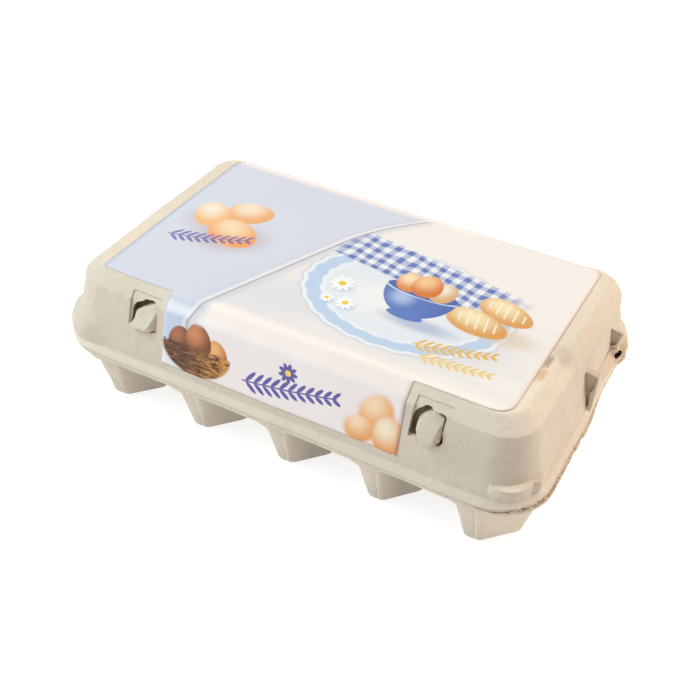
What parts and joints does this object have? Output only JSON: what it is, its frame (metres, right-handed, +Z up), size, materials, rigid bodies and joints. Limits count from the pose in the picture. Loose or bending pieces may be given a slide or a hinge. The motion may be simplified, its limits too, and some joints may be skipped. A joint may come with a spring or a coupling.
{
  "type": "egg carton",
  "caption": "Shut moulded-pulp egg carton: footed tray, latched lid with rounded shoulders, lock buttons in two windows, paper label folded over the lid.",
  "frame": {"origin": "on the floor, below the middle of the carton's box", "axes": "+X along the long side, -Y towards the latched front, +Z up"},
  "size_m": [0.2532, 0.1532, 0.0716],
  "materials": {
    "pulp": "matte moulded paper pulp",
    "label_paper": "coated printed paper, satin"
  },
  "bodies": {
    "root": {"tray": "pulp", "lid": "pulp", "latch_left": "pulp", "latch_right": "pulp", "label": "label_paper"}
  },
  "joints": []
}
